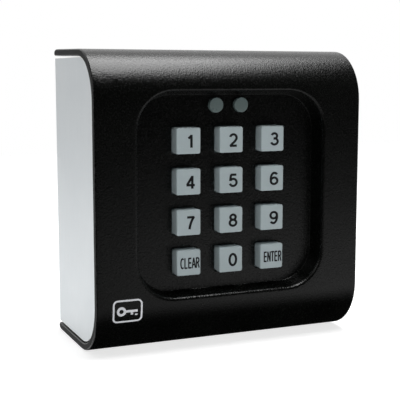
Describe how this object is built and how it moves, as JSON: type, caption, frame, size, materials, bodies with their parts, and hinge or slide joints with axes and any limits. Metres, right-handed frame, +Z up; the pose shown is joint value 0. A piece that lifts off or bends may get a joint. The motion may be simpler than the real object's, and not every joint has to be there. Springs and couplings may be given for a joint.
{
  "type": "keypad access reader",
  "caption": "Wall-mounted keypad access reader: black bent cover with a square recess of number keys and indicator windows, over a silver sheet chassis holding the lock-control board.",
  "frame": {"origin": "centre of the wall screw pattern, on the wall face of the back plate", "axes": "+X to the right seen from the front, +Y into the wall, +Z up"},
  "size_m": [0.1, 0.05, 0.1044],
  "materials": {
    "cover_black": "black textured powder coat",
    "chassis_silver": "satin silver anodised sheet",
    "lens_smoke": "smoked grey light window",
    "led_red": "tinted clear epoxy",
    "led_green": "tinted clear epoxy",
    "silicone": "translucent matte silicone",
    "key_grey": "fine matte moulded keycap grey",
    "board_green": "green solder resist",
    "screw_steel": "zinc plated",
    "spring_steel": "drawn wire",
    "brass": "turned",
    "chip_black": "moulded epoxy",
    "tin_can": "drawn metal can",
    "capacitor_sleeve": "shrunk sleeve",
    "relay_blue": "moulded case",
    "terminal_green": "moulded polyamide",
    "jumper_red": "moulded",
    "connector_ivory": "moulded polyamide",
    "ribbon_grey": "flat ribbon insulation",
    "plunger_orange": "moulded acetal",
    "grommet_rubber": "soft black rubber"
  },
  "bodies": {
    "housing": {"front_cover": "cover_black", "rear_chassis": "chassis_silver", "lens_left": "lens_smoke", "lens_right": "lens_smoke", "led_red": "led_red", "led_green": "led_green", "key_mat": "silicone", "keypad_board": "board_green", "keypad_screws": "screw_steel", "main_board": "board_green", "board_standoffs": "brass", "board_screws": "screw_steel", "microcontroller": "chip_black", "crystal": "tin_can", "voltage_regulator": "chip_black", "bridge_rectifier": "chip_black", "capacitors": "capacitor_sleeve", "relay": "relay_blue", "buzzer": "chip_black", "terminal_block": "terminal_green", "terminal_screws": "screw_steel", "config_header": "chip_black", "config_jumper": "jumper_red", "main_connector": "connector_ivory", "keypad_connector": "connector_ivory", "ribbon_cable": "ribbon_grey", "tamper_housing": "chip_black", "tamper_spring": "spring_steel", "cable_grommet": "grommet_rubber", "cover_screws": "screw_steel"},
    "key_1_body": {"key_1": "key_grey"},
    "key_2_body": {"key_2": "key_grey"},
    "key_3_body": {"key_3": "key_grey"},
    "key_4_body": {"key_4": "key_grey"},
    "key_5_body": {"key_5": "key_grey"},
    "key_6_body": {"key_6": "key_grey"},
    "key_7_body": {"key_7": "key_grey"},
    "key_8_body": {"key_8": "key_grey"},
    "key_9_body": {"key_9": "key_grey"},
    "key_clear_body": {"key_clear": "key_grey"},
    "key_0_body": {"key_0": "key_grey"},
    "key_enter_body": {"key_enter": "key_grey"},
    "tamper_plunger_body": {"tamper_plunger": "plunger_orange"}
  },
  "joints": [
    {"name": "key_1_press", "type": "slide", "parent": "housing", "child": "key_1_body", "axis": [0, 1, 0], "range_m": [0, 0.0012], "stiffness_N_per_m": 400, "springref_m": -0.001, "deforming": ["key_mat"]},
    {"name": "key_2_press", "type": "slide", "parent": "housing", "child": "key_2_body", "axis": [0, 1, 0], "range_m": [0, 0.0012], "stiffness_N_per_m": 400, "springref_m": -0.001, "deforming": ["key_mat"]},
    {"name": "key_3_press", "type": "slide", "parent": "housing", "child": "key_3_body", "axis": [0, 1, 0], "range_m": [0, 0.0012], "stiffness_N_per_m": 400, "springref_m": -0.001, "deforming": ["key_mat"]},
    {"name": "key_4_press", "type": "slide", "parent": "housing", "child": "key_4_body", "axis": [0, 1, 0], "range_m": [0, 0.0012], "stiffness_N_per_m": 400, "springref_m": -0.001, "deforming": ["key_mat"]},
    {"name": "key_5_press", "type": "slide", "parent": "housing", "child": "key_5_body", "axis": [0, 1, 0], "range_m": [0, 0.0012], "stiffness_N_per_m": 400, "springref_m": -0.001, "deforming": ["key_mat"]},
    {"name": "key_6_press", "type": "slide", "parent": "housing", "child": "key_6_body", "axis": [0, 1, 0], "range_m": [0, 0.0012], "stiffness_N_per_m": 400, "springref_m": -0.001, "deforming": ["key_mat"]},
    {"name": "key_7_press", "type": "slide", "parent": "housing", "child": "key_7_body", "axis": [0, 1, 0], "range_m": [0, 0.0012], "stiffness_N_per_m": 400, "springref_m": -0.001, "deforming": ["key_mat"]},
    {"name": "key_8_press", "type": "slide", "parent": "housing", "child": "key_8_body", "axis": [0, 1, 0], "range_m": [0, 0.0012], "stiffness_N_per_m": 400, "springref_m": -0.001, "deforming": ["key_mat"]},
    {"name": "key_9_press", "type": "slide", "parent": "housing", "child": "key_9_body", "axis": [0, 1, 0], "range_m": [0, 0.0012], "stiffness_N_per_m": 400, "springref_m": -0.001, "deforming": ["key_mat"]},
    {"name": "key_clear_press", "type": "slide", "parent": "housing", "child": "key_clear_body", "axis": [0, 1, 0], "range_m": [0, 0.0012], "stiffness_N_per_m": 400, "springref_m": -0.001, "deforming": ["key_mat"]},
    {"name": "key_0_press", "type": "slide", "parent": "housing", "child": "key_0_body", "axis": [0, 1, 0], "range_m": [0, 0.0012], "stiffness_N_per_m": 400, "springref_m": -0.001, "deforming": ["key_mat"]},
    {"name": "key_enter_press", "type": "slide", "parent": "housing", "child": "key_enter_body", "axis": [0, 1, 0], "range_m": [0, 0.0012], "stiffness_N_per_m": 400, "springref_m": -0.001, "deforming": ["key_mat"]},
    {"name": "tamper_press", "type": "slide", "parent": "housing", "child": "tamper_plunger_body", "axis": [0, 1, 0], "range_m": [0, 0.0006], "stiffness_N_per_m": 300, "springref_m": -0.002, "deforming": ["tamper_spring"]}
  ]
}
